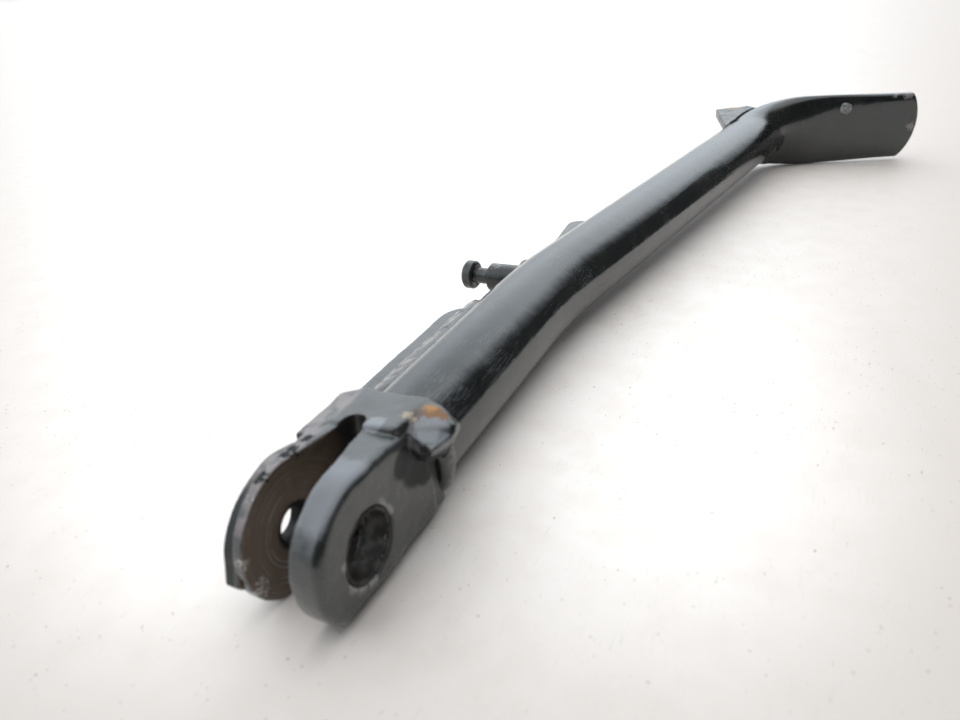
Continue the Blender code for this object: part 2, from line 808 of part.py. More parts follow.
pieces = [
    make_fork(),
    make_leg_tube(),
    make_bush(),
    make_cam_plate(),
    make_stiffener(),
    make_stiffener_weld("stiffener_weld_upper", STIFF_TOP_Z + 1.3, 36.0, 84.5),
    make_stiffener_weld("stiffener_weld_lower", STIFF_TOP_Z - STIFF_THICK - 1.2, 37.0, 83.0),
    make_post(),
    make_post_weld(),
    make_guard_lug(),
    make_lug_weld(),
    make_tang(),
    make_tang_weld(),
    make_plug(),
    make_clevis_weld(),
]
for piece in pieces:
    piece.parent = pivot

corners = [vertex.co for piece in pieces for vertex in piece.data.vertices]
low = Vector([min(corner[axis] for corner in corners) for axis in range(3)])
high = Vector([max(corner[axis] for corner in corners) for axis in range(3)])
pivot.location = (-(low.x + high.x) / 2, -(low.y + high.y) / 2, -low.z)
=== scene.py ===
"""Looks of a motorcycle's side stand leg: worn black paint on forged, welded and pressed steel.

The leg lies on its side on a pale floor, seen from past its pivot end. Lengths are in millimetres from the
swing axis, scaled to metres by MM: X runs along the leg to the foot, Y along the axis, Z up.
"""

import json
from math import cos, exp, pi, radians, sin, sqrt, tan

import bmesh
import bpy
from mathutils import Matrix, Vector, noise


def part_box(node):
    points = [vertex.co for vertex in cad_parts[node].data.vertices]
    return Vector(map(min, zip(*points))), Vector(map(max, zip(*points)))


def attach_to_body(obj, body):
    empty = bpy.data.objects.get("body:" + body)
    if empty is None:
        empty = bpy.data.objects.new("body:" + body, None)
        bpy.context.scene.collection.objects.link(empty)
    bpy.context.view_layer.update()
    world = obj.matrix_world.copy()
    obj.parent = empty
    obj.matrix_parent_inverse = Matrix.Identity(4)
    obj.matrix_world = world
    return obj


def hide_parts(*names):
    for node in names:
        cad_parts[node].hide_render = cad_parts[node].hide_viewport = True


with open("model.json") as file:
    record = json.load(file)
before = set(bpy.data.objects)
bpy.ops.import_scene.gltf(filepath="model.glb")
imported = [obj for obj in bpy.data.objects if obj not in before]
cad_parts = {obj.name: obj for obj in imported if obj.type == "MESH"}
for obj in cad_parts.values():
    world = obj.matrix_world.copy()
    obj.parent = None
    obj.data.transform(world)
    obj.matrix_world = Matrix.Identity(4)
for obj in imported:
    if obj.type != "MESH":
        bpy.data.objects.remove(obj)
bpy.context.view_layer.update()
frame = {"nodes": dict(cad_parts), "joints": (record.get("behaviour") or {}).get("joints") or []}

MM = 0.001
PIVOT = Vector(frame["joints"][0]["pos_m"])
X, Y = 0, 1

# Fixed start for the vector noise, so that each run gives the same shapes
noise.seed_set(1)

# Tube and foot, as in the part
TUBE_R = 11.0
TUBE_WALL = 2.6
TUBE_Y = 0.3
TUBE_Z = -1.35
TUBE_START_X = 27.2
BEND_X = 103.6
BEND_ANGLE = radians(8.2)
BEND_RADIUS = 200.0
DROP_ANGLE = radians(0.5)
FOOT_BEND_X = 303.0
FOOT_ANGLE = radians(70.0)
FOOT_BEND_RADIUS = 27.0
FOOT_HALF_THICK = 2.7
FOOT_HALF_WIDE = 15.4
FOOT_TIP_HALF_WIDE = 14.1
FOOT_LENGTH = 52.0
TIP_ARC_RADIUS = 25.0
TIP_ARC_SHIFT = 2.5
TIP_ROUND_LENGTH = 26.0
TIP_EDGE_R = 0.8
MOUTH_DEPTH = 18.0

# Tube and foot: points in a ring, and steps between rings on the round, pressed and flat stretches
RING = 144
ROUND_STEP = 2.5
PRESSED_STEP = 0.6
FLAT_STEP = 1.0

# Facet that the press left on the near side of the foot, measured from the start of the foot bend
FACET_TILT = 0.69
FACET_REACH = 50.0
FACET_START = 14.0
FACET_FADE = 2.0
FACET_FOOT = -12.0
CREASE_SOFTNESS = 1.1
FOLD_ALONG = 13.5
FOLD_HEIGHT = 0.6
FOLD_WIDTH = 1.1
DIMPLE = (21.0, -4.0)
DIMPLE_DEPTH = 0.8
DIMPLE_R = 2.4

# Tab: three corners of its upper face
TAB_TOP = ((276.0, -19.0, 4.6), (299.5, -8.8, 8.6), (305.5, -21.5, 9.0))

# Stiffener: level of its middle plane, half its thickness
STIFF_MIDDLE_Z = -1.3
STIFF_HALF_THICK = 2.5

# Spring post: inner face of its head, and how much is added to the head there
HEAD_INNER_Y = 26.0
HEAD_EXTRA = 0.9

# Cam: how far its top falls at the back and at the front, its underside falls, and its inner side is let in
CAM_TOP_FALL = (0.2, 1.6)
CAM_UNDER_FALL = 2.4
CAM_TUCK = 1.0
CAM_MIDDLE_Y = 8.6

# Low fin: how far it is sunk, stretched outwards and lifted
FIN_SINK = 0.7
FIN_STRETCH = 0.3
FIN_LIFT = 1.8

# Stop lug: corners of the sloping nose that faces forward
NOSE = (
    (16.4, -9.1, 13.6), (22.4, -11.0, 13.8), (22.8, -14.4, 12.9), (24.6, -16.4, 11.0), (21.4, -17.4, 11.0),
    (15.7, -11.9, 12.1), (15.0, -16.2, 10.9), (19.0, -17.2, 10.4), (16.6, -14.6, 8.0), (21.0, -15.0, 6.0),
    (24.0, -13.0, 6.0), (17.5, -9.5, 6.0), (24.0, -9.0, 10.0),
)

# Weld beads: points round the section, then for each bead its place, half its width and half its thickness,
# and its unevenness
BEAD_SIDES = 24
STIFF_BEAD_X = (35.0, 85.5)
STIFF_BEAD_OUT = 4.6
STIFF_BEAD_RISE = radians(50.0)
STIFF_BEAD_SINK = (0.45, 0.65)
STIFF_BEAD_THICK = 1.5
STIFF_BEAD_LUMP = 0.55
GUARD_BEAD_X = (131.5, 151.0)
GUARD_BEAD_Z = 2.4
GUARD_BEAD_SIZE = (1.5, 1.5)
GUARD_BEAD_LUMP = 0.3
CLEVIS_BEAD_R = 11.2
CLEVIS_BEAD_SIZE = (2.7, 1.6)
CLEVIS_BEAD_LUMP = 0.3
TAB_BEAD_LENGTH = 17.0
TAB_BEAD_SIZE = (0.8, 0.6)
TAB_BEAD_LUMP = 0.1

# Thread in the far ear
THREAD_START_Y = 5.05
THREAD_END_Y = 9.65
THREAD_PITCH = 0.9
THREAD_CREST_R = 3.4
THREAD_ROOT_R = 4.2
THREAD_OUT_R = 4.8

# Colours
BLACK = (0.011, 0.0125, 0.0125)
SHADE = (0.008, 0.009, 0.009)
PIT_AND_SHADE = (0.006, 0.006, 0.006)
SCUFFED = (0.075, 0.08, 0.08)
SCRAPED = (0.42, 0.40, 0.37)
BARE = (0.30, 0.29, 0.27)
DUST = (0.20, 0.19, 0.175)
STAIN = (0.105, 0.072, 0.05)
RUST = (0.19, 0.085, 0.022)
FRESH_RUST = (0.30, 0.14, 0.035)
PALE_RUST = (0.30, 0.24, 0.18)
OLD_RUST = (0.11, 0.075, 0.062)
GLOSS_IOR = 1.6

# Marks on the tube and foot: place and radius, and the stretch where the top turns dusty
TIP_CHIPS = (((322.5, -88.5, 10.4), 2.0), ((321.0, -83.0, 10.8), 1.2), ((323.5, -91.0, -3.5), 1.7))
RUBBED_AREAS = (((36.0, -5.0, 7.0), 8.0), ((62.0, -6.5, 6.5), 10.0), ((108.0, -8.0, 6.5), 9.0))
CLEAN_X = 105.0
DUSTY_X = 35.0

# Marks on the clevis: place and radius; the patches under the lug are painted shade
LUG_RUST = (
    ((20.6, -11.2, 13.8), 2.3, OLD_RUST),
    ((18.8, -9.3, 13.8), 1.5, PALE_RUST),
    ((22.6, -12.6, 13.5), 2.0, RUST),
    ((23.2, -11.4, 13.8), 1.3, FRESH_RUST),
    ((22.4, -14.2, 12.9), 1.2, RUST),
    ((16.0, -0.8, 14.9), 1.6, RUST),
)
# Painted shade: near-black, low-gloss patches on the near ear's face under the stop lug
PAINTED_SHADE_UNDER_LUG = (
    ((16.2, -11.0, 5.2), 4.6),
    ((19.6, -11.0, 2.2), 3.6),
    ((20.5, -12.0, 6.0), 4.6),
    ((12.8, -11.0, 8.4), 3.4),
)
FAR_EAR_PITS = (
    ((-3.6, 6.9, 13.0), 1.5),
    ((4.2, 5.9, 13.4), 1.7),
    ((2.6, 6.6, 13.4), 1.3),
    ((8.0, 5.4, 13.2), 1.2),
)
FAR_EAR_SCRAPES = (((-7.8, 5.6, 12.6), 1.6), ((-13.2, 5.4, 2.0), 1.3), ((-11.4, 5.0, -5.0), 1.8))

# Chips round the near bore: angle and radius of each, the circle they lie on, and where they end
BORE_CHIPS = ((214.0, 1.4), (238.0, 1.6), (262.0, 1.5), (44.0, 1.6), (22.0, 1.3), (165.0, 1.2))
BORE_CHIP_CIRCLE_R = 7.4
BORE_RIM_R = 8.3
NEAR_FACE_Y = -11.0

# Camera: place from the swing axis, and the way it faces
CAMERA_PLACE = Vector((-75.83, -77.61, 89.01))
CAMERA_RIGHT = Vector((0.43894, -0.89439, -0.08606))
CAMERA_UP = Vector((0.47179, 0.14790, 0.86922))
LENS = 28.5
FOCUS = 235.0
F_STOP = 22.0

# Room: a wide window on the far left, dark behind and to the right
WINDOW_EDGE = radians(-27.0)
WINDOW_BLUR = 0.16
WINDOW_COLOUR = (2.65, 2.87, 3.05, 1.0)
CEILING_COLOUR = (2.2, 2.3, 2.35, 1.0)
ROOM_COLOUR = (0.024, 0.025, 0.027, 1.0)
BACKDROP_COLOUR = (0.9, 0.9, 0.895, 1.0)

# Dark screen beside the leg, as seen from above, and its height over the swing axis
SCREEN_LINE = (
    (-60.0, -125.0),
    (60.0, -108.0),
    (132.0, -91.0),
    (188.0, -74.0),
    (267.0, -64.0),
    (290.0, -62.0),
)
SCREEN_TOP = 30.0

# Floor: half its side in metres, the clevis's touching point behind its front end, gap under the leg
FLOOR_COLOUR = (0.845, 0.782, 0.738)
FLOOR_REACH = 12.0
CLEVIS_REST = 13.8
FLOOR_GAP = 0.05


def at(x, y, z):
    """World place of a point given in millimetres from the swing axis."""
    return PIVOT + Vector((x, y, z)) * MM


# ---------------------------------------------------------------- materials


def feed(tree, socket, value):
    """Give a socket a value, or a link from another socket."""
    if isinstance(value, bpy.types.NodeSocket):
        tree.links.new(value, socket)
    else:
        socket.default_value = value


def add_node(tree, kind, inputs=(), **settings):
    """Add a node; inputs maps a socket's name or number to a value or to another socket."""
    made = tree.nodes.new(kind)
    for key, value in settings.items():
        setattr(made, key, value)
    for key, value in dict(inputs).items():
        feed(tree, made.inputs[key], value)
    return made


def eased(tree, value, low, high, bottom=0.0, top=1.0):
    """From bottom to top as a value goes from low to high; low may be above high."""
    inputs = {"Value": value, "From Min": low, "From Max": high, "To Min": bottom, "To Max": top}
    return add_node(tree, "ShaderNodeMapRange", inputs, interpolation_type="SMOOTHSTEP").outputs["Result"]


def mixed(tree, mask, first, second):
    """Colour between two, by the mask."""
    return add_node(tree, "ShaderNodeMix", {0: mask, 6: first, 7: second}, data_type="RGBA").outputs[2]


class Finish:
    """One material: a base coat with layers over it, each covering the part its mask allows.

    Masks run from 0 to 1. Sizes are in millimetres, places in millimetres from the swing axis.
    """

    def __init__(self, name, colour, roughness, metal=0.0, shine=0.5):
        self.mat = bpy.data.materials.new(name)
        self.mat.use_nodes = True
        self.tree = self.mat.node_tree
        self.shader = self.tree.nodes["Principled BSDF"]
        self.shader.inputs["IOR"].default_value = GLOSS_IOR
        self.coords = self.node("ShaderNodeTexCoord").outputs["Object"]
        self.colour = (*colour, 1.0)
        self.roughness = roughness
        self.metal = metal
        self.shine = shine
        self.height = 0.0

    def node(self, kind, inputs=(), **settings):
        """Add a node to this material."""
        return add_node(self.tree, kind, inputs, **settings)

    def calc(self, operation, first, second=0.0):
        """One step of arithmetic on two values."""
        return self.node("ShaderNodeMath", {0: first, 1: second}, operation=operation).outputs[0]

    def vector(self, operation, first, second=(0.0, 0.0, 0.0)):
        """One step of arithmetic on two vectors."""
        return self.node("ShaderNodeVectorMath", {0: first, 1: second}, operation=operation)

    def both(self, *masks):
        """Product of masks."""
        joined = masks[0]
        for mask in masks[1:]:
            joined = self.calc("MULTIPLY", joined, mask)
        return joined

    def fade(self, value, low, high):
        """0 below low, 1 above high, eased between; works backwards when low is above high."""
        return eased(self.tree, value, low, high)

    def past(self, axis, low, high):
        """0 before low and 1 beyond high along an axis."""
        value = self.node("ShaderNodeSeparateXYZ", {0: self.coords}).outputs[axis]
        return self.fade(value, PIVOT[axis] + low * MM, PIVOT[axis] + high * MM)

    def grain(self, size, detail=4.0, rough=0.55, stretch=(1.0, 1.0, 1.0), turn=(0.0, 0.0, 0.0)):
        """Noise with features of a size, drawn out along an axis if asked."""
        scale = [1.0 / part for part in stretch]
        placed = self.node("ShaderNodeMapping", {"Vector": self.coords, "Rotation": turn, "Scale": scale})
        inputs = {
            "Vector": placed.outputs["Vector"],
            "Scale": 1.0 / (size * MM),
            "Detail": detail,
            "Roughness": rough,
        }
        return self.node("ShaderNodeTexNoise", inputs).outputs["Fac"]

    def speckle(self, size, low, high, detail=4.0):
        """Patches of a size: 0 where the noise is below low, 1 where it is above high."""
        return self.fade(self.grain(size, detail), low, high)

    def scratches(self, turn, long=9.0, width=0.22, share=0.66):
        """Sparse thin marks that all run one way."""
        line = self.grain(width, 1.0, 0.5, (long / width, 1.0, 1.0), (0.0, turn[0], turn[1]))
        return self.both(self.fade(line, share, share + 0.05), self.speckle(13.0 + turn[1], 0.47, 0.6, 2.0))

    def spot(self, place, radius, ragged=0.35, grain_size=1.6):
        """Round patch with a ragged edge."""
        away = self.vector("DISTANCE", self.coords, at(*place)).outputs["Value"]
        share = self.calc("DIVIDE", away, radius * MM)
        torn = self.calc("MULTIPLY", self.calc("SUBTRACT", self.grain(grain_size), 0.5), ragged * 6)
        return self.fade(self.calc("ADD", share, torn), 1.1, 0.75)

    def edges(self, radius=0.5, broken=1.5):
        """Worn edges: where a rounded surface would turn away from the real one."""
        rounded = self.node("ShaderNodeBevel", {"Radius": radius * MM}, samples=4).outputs["Normal"]
        real = self.node("ShaderNodeNewGeometry").outputs["Normal"]
        same = self.vector("DOT_PRODUCT", rounded, real).outputs["Value"]
        turned = self.calc("SUBTRACT", 1.0, same)
        return self.both(self.fade(turned, 0.02, 0.1), self.speckle(broken, 0.45, 0.62))

    def facing(self, direction, low=0.5, high=0.8):
        """1 where the surface faces a direction."""
        real = self.node("ShaderNodeNewGeometry").outputs["Normal"]
        return self.fade(self.vector("DOT_PRODUCT", real, direction).outputs["Value"], low, high)

    def rings(self, centre, pitch):
        """Fine circular marks about an axis along Y."""
        apart = self.vector("SUBTRACT", self.coords, at(*centre)).outputs[0]
        flat = self.vector("MULTIPLY", apart, (1.0, 0.0, 1.0)).outputs[0]
        radius = self.vector("LENGTH", flat).outputs["Value"]
        inputs = {"W": radius, "Scale": 1.0 / (pitch * MM), "Detail": 2.0}
        return self.node("ShaderNodeTexNoise", inputs, noise_dimensions="1D").outputs["Fac"]

    def layer(self, mask, colour=None, roughness=None, metal=None, shine=None, strength=1.0):
        """Cover part of what is there so far."""
        if strength != 1.0:
            mask = self.calc("MULTIPLY", mask, strength)
        if colour:
            self.colour = mixed(self.tree, mask, self.colour, (*colour, 1.0))
        if roughness is not None:
            self.roughness = self.blend(mask, self.roughness, roughness)
        if metal is not None:
            self.metal = self.blend(mask, self.metal, metal)
        if shine is not None:
            self.shine = self.blend(mask, self.shine, shine)

    def blend(self, mask, old, new):
        """Value between old and new, by the mask."""
        return self.node("ShaderNodeMix", {0: mask, 2: old, 3: new}, data_type="FLOAT").outputs[0]

    def raise_by(self, value, height):
        """Add relief: value times a height."""
        self.height = self.calc("ADD", self.height, self.calc("MULTIPLY", value, height * MM))

    def done(self):
        """Wire everything into the shader."""
        for name, value in (
            ("Base Color", self.colour),
            ("Roughness", self.roughness),
            ("Metallic", self.metal),
            ("Specular IOR Level", self.shine),
        ):
            feed(self.tree, self.shader.inputs[name], value)
        if isinstance(self.height, bpy.types.NodeSocket):
            bump = self.node("ShaderNodeBump", {"Height": self.height, "Distance": 1.0, "Strength": 1.0})
            self.tree.links.new(bump.outputs["Normal"], self.shader.inputs["Normal"])
        return self.mat


def paint_coat(name, colour=BLACK, roughness=0.12, shine=0.5):
    """Black paint with an uneven gloss, faint dust, fine scratches and a slightly pebbled surface."""
    coat = Finish(name, colour, roughness, shine=shine)
    coat.layer(coat.speckle(22.0, 0.4, 0.7), colour=(0.017, 0.018, 0.017), roughness=0.17)
    coat.layer(coat.speckle(5.0, 0.5, 0.75, 6.0), roughness=0.28, strength=0.6)
    coat.layer(coat.speckle(0.35, 0.72, 0.78, 2.0), colour=DUST, roughness=0.7, strength=0.35)
    for turn in ((0.2, 0.35), (0.9, 1.1), (0.4, 2.3)):
        coat.layer(coat.scratches(turn), colour=SCUFFED, roughness=0.5, strength=0.55)
    coat.raise_by(coat.grain(1.1, 3.0), 0.012)
    coat.raise_by(coat.grain(7.0, 2.0), 0.10)
    return coat


def leg_finish():
    """Tube and foot: chipped at the tip, rubbed in places and dusty on top near the clevis."""
    coat = paint_coat("leg_gloss_black")
    coat.layer(coat.edges(0.6), colour=(0.13, 0.12, 0.115), roughness=0.45, strength=0.8)
    for place, radius in TIP_CHIPS:
        chip = coat.spot(place, radius, 0.6, 0.6)
        coat.layer(chip, colour=(0.22, 0.19, 0.18), roughness=0.5, strength=0.7)
    coat.layer(coat.both(coat.past(X, CLEAN_X, DUSTY_X), coat.facing((0.0, 0.3, 0.95), 0.45, 0.9)), shine=0.3)
    for place, radius in RUBBED_AREAS:
        area = coat.spot(place, radius, 0.3, 5.0)
        for turn in ((0.3, 0.5), (1.3, 2.0), (0.7, 1.2)):
            rubbed = coat.both(area, coat.scratches(turn, 4.0, 0.12, 0.6))
            coat.layer(rubbed, colour=(0.20, 0.205, 0.22), roughness=0.45, strength=0.35)
    return coat.done()


def stain_far_ear(coat):
    """Brown stain and worn circles on the face that rubs on the bracket."""
    inner = coat.both(coat.spot((0.0, 6.0, 2.0), 21.0, 0.25, 5.0), coat.facing((0.0, -1.0, 0.0)))
    brown = coat.both(inner, coat.speckle(6.0, 0.1, 0.45, 5.0), coat.past(Y, 2.0, 3.5))
    coat.layer(brown, colour=STAIN, roughness=0.6)
    circles = coat.both(coat.fade(coat.rings((0.0, 0.0, 0.0), 0.5), 0.56, 0.66), coat.speckle(4.0, 0.42, 0.6))
    worn = coat.both(circles, inner, coat.spot((0.0, 5.0, 0.0), 13.2, 0.05))
    coat.layer(worn, colour=(0.26, 0.24, 0.22), roughness=0.4, strength=0.7)


def wear_far_ear(coat):
    """Rubbed top of the far ear with pits, scrapes on its front edge, and the dark strip beyond it."""
    top = coat.both(coat.facing((0.0, 0.0, 1.0), 0.3, 0.7), coat.past(Y, 4.0, 5.2))
    worn_top = coat.both(top, coat.speckle(3.0, 0.32, 0.55, 5.0))
    coat.layer(worn_top, colour=(0.155, 0.125, 0.12), roughness=0.4, strength=0.85)
    for place, radius in FAR_EAR_PITS:
        coat.layer(coat.spot(place, radius, 0.5, 0.8), colour=PIT_AND_SHADE, roughness=0.6, shine=0.15)
    for place, radius in FAR_EAR_SCRAPES:
        scraped = coat.both(coat.spot(place, radius, 0.5, 0.8), coat.speckle(0.5, 0.45, 0.55, 2.0))
        coat.layer(scraped, colour=SCRAPED, roughness=0.5, strength=0.8)
    beyond = coat.both(coat.past(Y, 7.3, 7.7), coat.facing((-1.0, 0.0, 0.0), 0.2, 0.5))
    coat.layer(beyond, colour=SHADE, roughness=0.5, shine=0.25)


def chip_near_bore(coat):
    """Bright chips round the rim of the near bore."""
    rim = coat.spot((0.0, NEAR_FACE_Y, 0.0), BORE_RIM_R, 0.06, 0.8)
    for angle, radius in BORE_CHIPS:
        turn = radians(angle)
        place = (BORE_CHIP_CIRCLE_R * cos(turn), NEAR_FACE_Y, BORE_CHIP_CIRCLE_R * sin(turn))
        chip = coat.both(coat.spot(place, radius, 0.3, 0.7), rim)
        coat.layer(chip, colour=(0.40, 0.39, 0.365), roughness=0.4, strength=0.7)


def paint_clevis_highlights(coat):
    """Painted highlights: paler, bluish, glossier paint on the near ear's top, the block and the lug's nose.
    """
    # Painted highlights on the near ear's top, then on the block and on the lug's nose
    ear_top_highlight = coat.both(coat.spot((-3.0, -7.6, 13.6), 8.5, 0.12, 3.0), coat.facing((0.0, 0.0, 1.0)))
    coat.layer(ear_top_highlight, colour=(0.10, 0.106, 0.117), roughness=0.3, strength=0.9)
    block = coat.spot((14.8, -4.8, 14.6), 2.2, 0.25, 1.2)
    coat.layer(block, colour=(0.15, 0.158, 0.175), roughness=0.25, strength=0.7)
    nose = coat.spot((18.6, -14.0, 12.0), 3.6, 0.2, 1.5)
    coat.layer(nose, colour=(0.13, 0.138, 0.155), roughness=0.25, strength=0.85)


def forging_finish():
    """Clevis: duller paint over a rough forging, stained inside the far ear and rusty on the stop lug, with
    painted shade under the lug and painted highlights on top.
    """
    coat = paint_coat("clevis_forged_black", (0.014, 0.016, 0.0155), 0.27)
    coat.layer(coat.speckle(9.0, 0.45, 0.7, 5.0), colour=(0.026, 0.028, 0.025), roughness=0.42)
    stain_far_ear(coat)
    coat.layer(coat.edges(0.45), colour=(0.20, 0.195, 0.185), roughness=0.42, metal=0.4, strength=0.7)
    for place, radius, colour in LUG_RUST:
        coat.layer(coat.spot(place, radius, 0.35, 0.9), colour=colour, roughness=0.75, strength=0.9)
    wear_far_ear(coat)
    # Painted shade under the stop lug: near-black with the gloss turned down
    for place, radius in PAINTED_SHADE_UNDER_LUG:
        coat.layer(coat.spot(place, radius, 0.06, 4.0), colour=SHADE, roughness=0.5, shine=0.15)
    chip_near_bore(coat)
    paint_clevis_highlights(coat)
    coat.raise_by(coat.grain(2.6, 4.0), 0.09)
    return coat.done()


def weld_finish():
    """Painted weld: glossy paint run over a lumpy bead, with lighter speckles painted in as glints and
    near-black speckles as painted shade in its pits.
    """
    coat = paint_coat("weld_gloss_black", BLACK, 0.17)
    # Painted highlights: lighter speckles standing in for glints
    coat.layer(coat.speckle(2.2, 0.55, 0.7), colour=(0.05, 0.05, 0.048), roughness=0.35)
    # Painted shade: near-black speckles for the shade in the bead's pits
    coat.layer(coat.speckle(1.1, 0.62, 0.68, 2.0), colour=(0.004, 0.004, 0.004), roughness=0.6)
    coat.raise_by(coat.grain(1.8, 3.0), 0.07)
    return coat.done()


def plate_finish():
    """Welded-on plates: paint worn through at the edges."""
    coat = paint_coat("plate_gloss_black", (0.013, 0.0145, 0.014), 0.22)
    coat.layer(coat.edges(0.5), colour=(0.16, 0.155, 0.15), roughness=0.42, strength=0.7)
    return coat.done()


def post_finish():
    """Spring post: black, worn to bare steel on the body where the spring rubs."""
    coat = paint_coat("post_black", (0.012, 0.012, 0.012), 0.22, shine=0.3)
    rubbed = coat.both(
        coat.fade(coat.rings((113.5, 0.0, TUBE_Z), 0.25), 0.5, 0.6),
        coat.speckle(2.5, 0.4, 0.6),
    )
    coat.layer(rubbed, colour=(0.10, 0.098, 0.09), roughness=0.4, strength=0.35)
    flakes = coat.both(coat.spot((113.0, 18.0, 2.4), 2.0, 0.3, 0.8), coat.speckle(0.4, 0.54, 0.6, 2.0))
    coat.layer(flakes, colour=(0.40, 0.39, 0.38), roughness=0.45, strength=0.8)
    coat.layer(coat.edges(0.4), colour=BARE, roughness=0.35, metal=0.7, strength=0.7)
    return coat.done()


def steel_finish():
    """Bush: greasy bare steel."""
    coat = Finish("bush_greasy_steel", (0.030, 0.026, 0.022), 0.5, 0.1)
    coat.layer(coat.speckle(2.4, 0.35, 0.6, 5.0), colour=(0.012, 0.010, 0.008), roughness=0.6, shine=0.25)
    coat.layer(coat.speckle(1.2, 0.66, 0.74, 3.0), colour=(0.20, 0.19, 0.17), roughness=0.4)
    coat.layer(coat.edges(0.3, 1.0), colour=(0.45, 0.44, 0.41), roughness=0.35, metal=0.4)
    coat.raise_by(coat.grain(1.0), 0.03)
    return coat.done()


def thread_finish():
    """Thread: dark grease with lighter crests."""
    coat = Finish("thread_dark_grease", (0.012, 0.011, 0.010), 0.45, 0.1)
    coat.layer(coat.edges(0.2, 0.8), colour=(0.22, 0.21, 0.20), roughness=0.4, metal=0.5, strength=0.7)
    coat.raise_by(coat.grain(0.8), 0.03)
    return coat.done()


def tang_finish():
    """Tang: black, its raised end rubbed bare and rusting, with a dark spot of painted shade at one lower
    corner.
    """
    coat = paint_coat("tang_black", (0.016, 0.017, 0.017), 0.25)
    coat.layer(coat.edges(0.5), colour=(0.2, 0.18, 0.16), roughness=0.45, strength=0.8)
    coat.layer(coat.spot((303.5, -15.0, 8.6), 3.4, 0.6, 1.2), colour=(0.34, 0.22, 0.12), roughness=0.7)
    # Painted shade: dark spot at the tab's lower corner
    coat.layer(coat.spot((281.5, -20.5, 4.4), 2.0, 0.8, 1.0), colour=PIT_AND_SHADE, roughness=0.6)
    return coat.done()


def plug_finish():
    """Plug weld rubbed down to grey metal with dark pits."""
    coat = Finish("plug_rubbed_steel", (0.20, 0.20, 0.19), 0.5, 0.35)
    coat.layer(coat.speckle(1.3, 0.5, 0.62), colour=(0.07, 0.072, 0.07), roughness=0.45, metal=0.0)
    coat.layer(coat.speckle(0.8, 0.6, 0.68, 3.0), colour=(0.42, 0.42, 0.40), roughness=0.45)
    coat.raise_by(coat.grain(1.2, 4.0), 0.25)
    return coat.done()


# ---------------------------------------------------------------- shapes


def smooth(value):
    """Ease from 0 to 1."""
    value = min(max(value, 0.0), 1.0)
    return value * value * (3 - 2 * value)


def soft_min(first, second, reach):
    """Smaller of two values, blended where they are close."""
    share = min(max(0.5 + 0.5 * (second - first) / reach, 0.0), 1.0)
    return second + (first - second) * share - reach * share * (1 - share)


def hill(distance, width):
    """Bell curve of height 1."""
    return exp(-((distance / width) ** 2))


def leg_path():
    """Lengths and turns of the tube's centre line: straight, bend, straight, bend, flat foot."""
    first_cut = BEND_RADIUS * tan(BEND_ANGLE / 2)
    foot_turn = FOOT_ANGLE - BEND_ANGLE
    second_cut = FOOT_BEND_RADIUS * tan(foot_turn / 2)
    middle = (FOOT_BEND_X - BEND_X) / cos(BEND_ANGLE)
    return [
        (BEND_X - first_cut - TUBE_START_X, 0.0),
        (BEND_RADIUS * BEND_ANGLE, BEND_ANGLE),
        (middle - first_cut - second_cut, 0.0),
        (FOOT_BEND_RADIUS * foot_turn, foot_turn),
        (FOOT_LENGTH, 0.0),
    ]


def path_lengths():
    """Running length at the end of each stretch of the centre line."""
    total = 0.0
    ends = []
    for length, _ in leg_path():
        total += length
        ends.append(total)
    return ends


PATH = leg_path()
ENDS = path_lengths()
TIP = ENDS[-1]
FOOT_START = ENDS[2]


def path_at(along):
    """Point and heading of the centre line at a running length."""
    x, y, heading = TUBE_START_X, TUBE_Y, 0.0
    left = along
    for index, (length, turn) in enumerate(PATH):
        part = left if index == len(PATH) - 1 else min(left, length)
        if turn:
            radius = length / turn
            angle = part / radius
            x += radius * (sin(heading + angle) - sin(heading))
            y -= radius * (cos(heading) - cos(heading + angle))
            heading += angle
        else:
            x += part * cos(heading)
            y -= part * sin(heading)
        left -= part
        if left <= 0:
            break
    fall = min(max(along - ENDS[0], 0.0), ENDS[2] - ENDS[0])
    return Vector((x, y, TUBE_Z - fall * tan(DROP_ANGLE))), heading


def near_depth(along, up, across):
    """How far the near surface of the foot stands out from the middle plane."""
    past = along - FOOT_START
    late = smooth((past + 6.0) / 56.0)
    round_thick = TUBE_R + (FOOT_HALF_THICK + 0.15 - TUBE_R) * late
    square = 2.0 + 1.4 * smooth((past - 40.0) / 40.0)
    share = min(abs(up) / across, 1.0)
    bulge = round_thick * (1 - share**square) ** (1 / square)
    tilt = FACET_TILT * (max(FACET_REACH - past, 0.0) / (FACET_REACH - FACET_START)) ** FACET_FADE
    facet = FOOT_HALF_THICK + tilt * max(up - FACET_FOOT, 0.0)
    depth = soft_min(bulge, facet, CREASE_SOFTNESS)
    if bulge > 1.0:
        low = smooth((-2.0 - up) / 4.0)
        depth += FOLD_HEIGHT * low * hill(past - FOLD_ALONG, FOLD_WIDTH)
        dimple = Vector((past - DIMPLE[0], up - DIMPLE[1])).length
        depth -= DIMPLE_DEPTH * hill(dimple, DIMPLE_R)
    return depth


